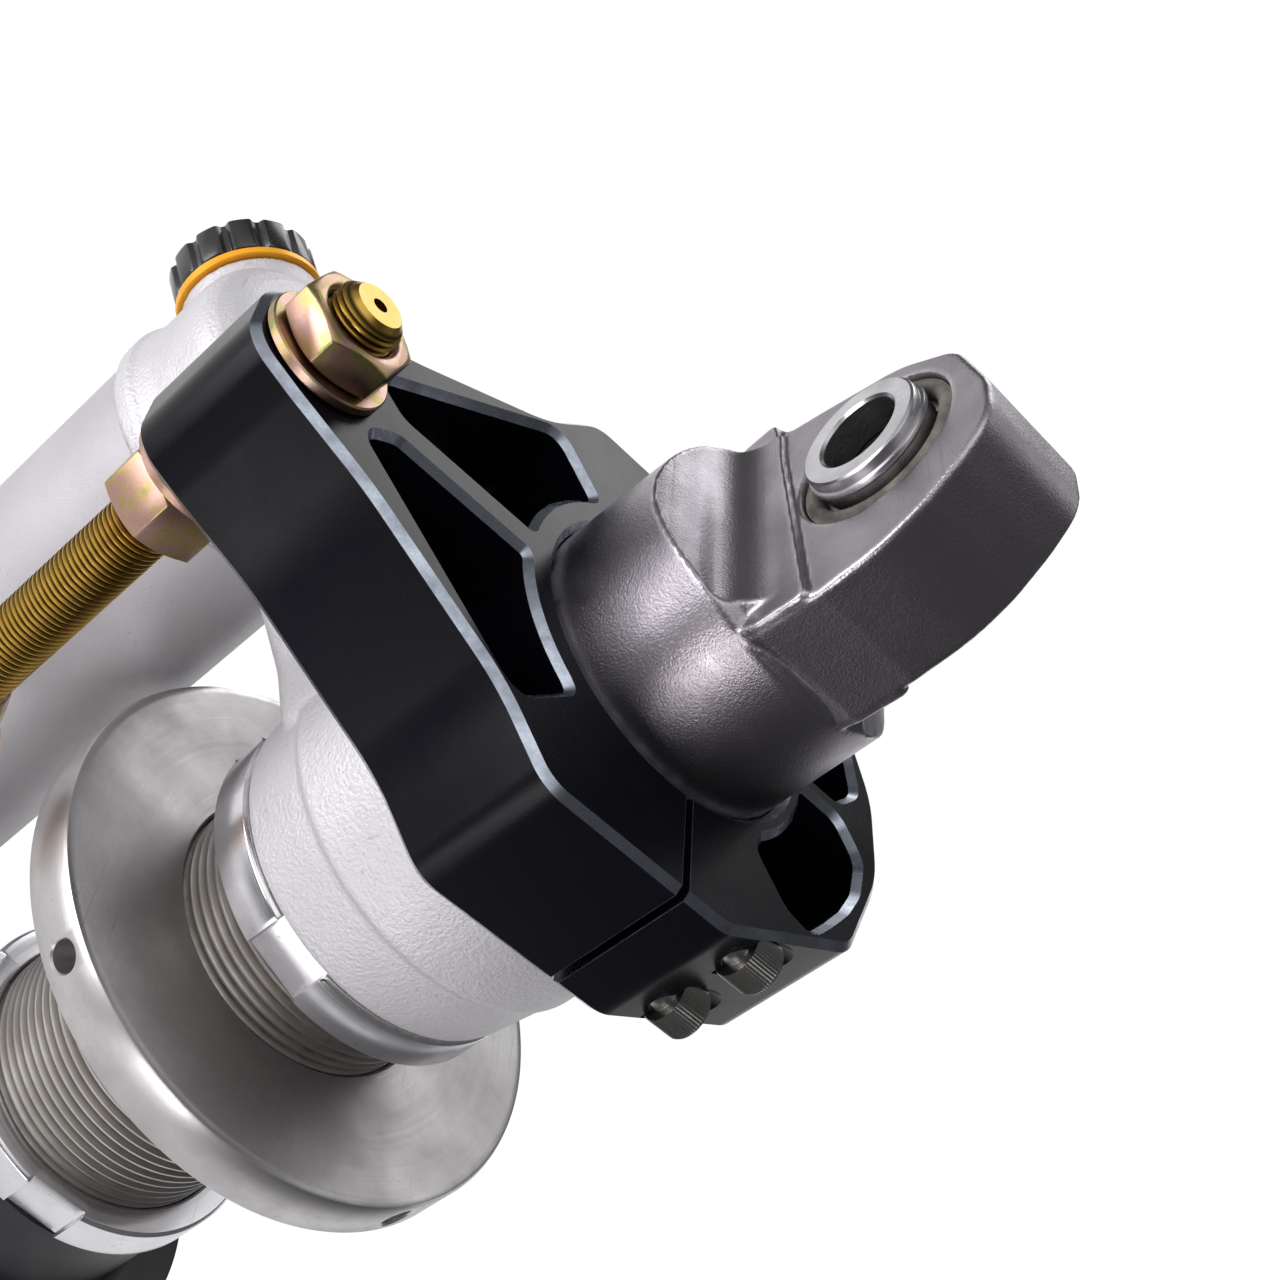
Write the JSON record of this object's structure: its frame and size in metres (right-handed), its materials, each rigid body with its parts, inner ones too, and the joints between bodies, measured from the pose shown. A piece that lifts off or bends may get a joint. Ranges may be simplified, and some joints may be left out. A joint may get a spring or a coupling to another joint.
{
  "type": "coilover",
  "caption": "Reservoir coilover damper with a split clamp arm on its head, a threaded body with a preload flange, a coil spring and spherical eye bearings.",
  "frame": {"origin": "centre of the upper eye's bearing, on its pin axis", "axes": "+Z along the damper towards the upper eye, X along both eye pins, the clamp arm and link rod at -X, the reservoir behind at -X +Y"},
  "size_m": [0.1581, 0.166, 0.633],
  "materials": {
    "gunmetal_head": "satin",
    "bearing_steel": "satin",
    "bearing_chrome": "polished",
    "seal_rubber": "dusty",
    "spacer_steel": "machined",
    "black_anodised": "satin anodised",
    "screw_steel": "dark knurled",
    "yellow_zinc": "yellow zinc plate",
    "washer_steel": "plain",
    "cast_silver": "sand cast",
    "tube_silver": "matt",
    "orange_dial": "anodised orange",
    "knob_black": "gloss",
    "machined_aluminium": "machined",
    "polished_aluminium": "polished",
    "body_aluminium": "threaded",
    "flange_aluminium": "tumbled",
    "spring_coat": "powder coat",
    "shaft_chrome": "hard chrome",
    "bumper_foam": "foam",
    "lower_eye_metal": "satin"
  },
  "bodies": {
    "damper_body": {"upper_eye_head": "gunmetal_head", "upper_race": "bearing_steel", "upper_seal_left": "seal_rubber", "upper_seal_right": "seal_rubber", "clamp_arm": "black_anodised", "clamp_cap": "black_anodised", "clamp_screw_1": "screw_steel", "clamp_screw_2": "screw_steel", "clamp_screw_3": "screw_steel", "clamp_screw_4": "screw_steel", "rod_end": "yellow_zinc", "rod_nut_top": "yellow_zinc", "rod_nut_bottom": "yellow_zinc", "rod_washer": "washer_steel", "rod_washer_low": "washer_steel", "head_housing": "cast_silver", "reservoir_tube": "tube_silver", "reservoir_cap": "black_anodised", "fill_valve": "yellow_zinc", "adjuster_dial": "orange_dial", "lock_ring": "polished_aluminium", "body_tube": "body_aluminium", "spring_slider": "black_anodised", "main_spring": "spring_coat", "seal_head": "black_anodised", "wiper_seal": "seal_rubber"},
    "upper_ball": {"upper_ball": "bearing_chrome"},
    "upper_spacers": {"upper_spacer_left": "spacer_steel", "upper_spacer_right": "spacer_steel"},
    "lower_shaft": {"shaft": "shaft_chrome", "piston": "machined_aluminium", "piston_shims": "washer_steel", "piston_nut": "washer_steel", "bump_stop": "bumper_foam", "spring_perch": "black_anodised", "lower_eye": "lower_eye_metal", "lower_race": "bearing_steel", "lower_seal_left": "seal_rubber", "lower_seal_right": "seal_rubber"},
    "lower_ball": {"lower_ball": "bearing_chrome"},
    "lower_spacers": {"lower_spacer_left": "spacer_steel", "lower_spacer_right": "spacer_steel"},
    "link_ball": {"rod_ball": "bearing_chrome"},
    "flange": {"preload_flange": "flange_aluminium"},
    "crossover": {"crossover_ring": "polished_aluminium"},
    "knob": {"adjuster_knob": "knob_black"},
    "separator": {"separator_piston": "machined_aluminium", "separator_seal": "seal_rubber"},
    "valve_cap": {"valve_cap": "knob_black"}
  },
  "joints": [
    {"name": "shaft_travel", "type": "slide", "parent": "damper_body", "child": "lower_shaft", "axis": [0, 0, 1], "range_m": [0, 0.14], "stiffness_N_per_m": 41000, "springref_m": -0.003, "deforming": ["main_spring"]},
    {"name": "upper_ball_tilt", "type": "hinge", "parent": "damper_body", "child": "upper_ball", "pos_m": [0, 0, 0], "axis": [0, 1, 0], "range_deg": [-4, 4]},
    {"name": "upper_spacer_spin", "type": "hinge", "parent": "upper_ball", "child": "upper_spacers", "pos_m": [0, 0, 0], "axis": [1, 0, 0], "continuous": true},
    {"name": "lower_ball_tilt", "type": "hinge", "parent": "lower_shaft", "child": "lower_ball", "pos_m": [0, 0, -0.585], "axis": [0, 1, 0], "range_deg": [-4, 4]},
    {"name": "lower_spacer_spin", "type": "hinge", "parent": "lower_ball", "child": "lower_spacers", "pos_m": [0, 0, -0.585], "axis": [1, 0, 0], "continuous": true},
    {"name": "link_ball_tilt", "type": "hinge", "parent": "damper_body", "child": "link_ball", "pos_m": [-0.0834, 0, -0.1758], "axis": [1, 0, 0], "range_deg": [-12, 12]},
    {"name": "flange_preload", "type": "slide", "parent": "damper_body", "child": "flange", "axis": [0, 0, 1], "range_m": [-0.02, 0.012]},
    {"name": "crossover_set", "type": "slide", "parent": "damper_body", "child": "crossover", "axis": [0, 0, 1], "range_m": [0, 0.025]},
    {"name": "knob_turn", "type": "hinge", "parent": "damper_body", "child": "knob", "pos_m": [-0.08341, 0.09695, -0.1064], "axis": [-0.5, 0.866, 0], "range_deg": [0, 300]},
    {"name": "separator_travel", "type": "slide", "parent": "damper_body", "child": "separator", "axis": [0, 0, 1], "range_m": [-0.03, 0]},
    {"name": "valve_cap_off", "type": "slide", "parent": "damper_body", "child": "valve_cap", "axis": [0, 0, -1], "range_m": [0, 0.02]}
  ],
  "couplings": [
    {"joint": "separator_travel", "follows": "shaft_travel", "ratio": -0.1756}
  ]
}
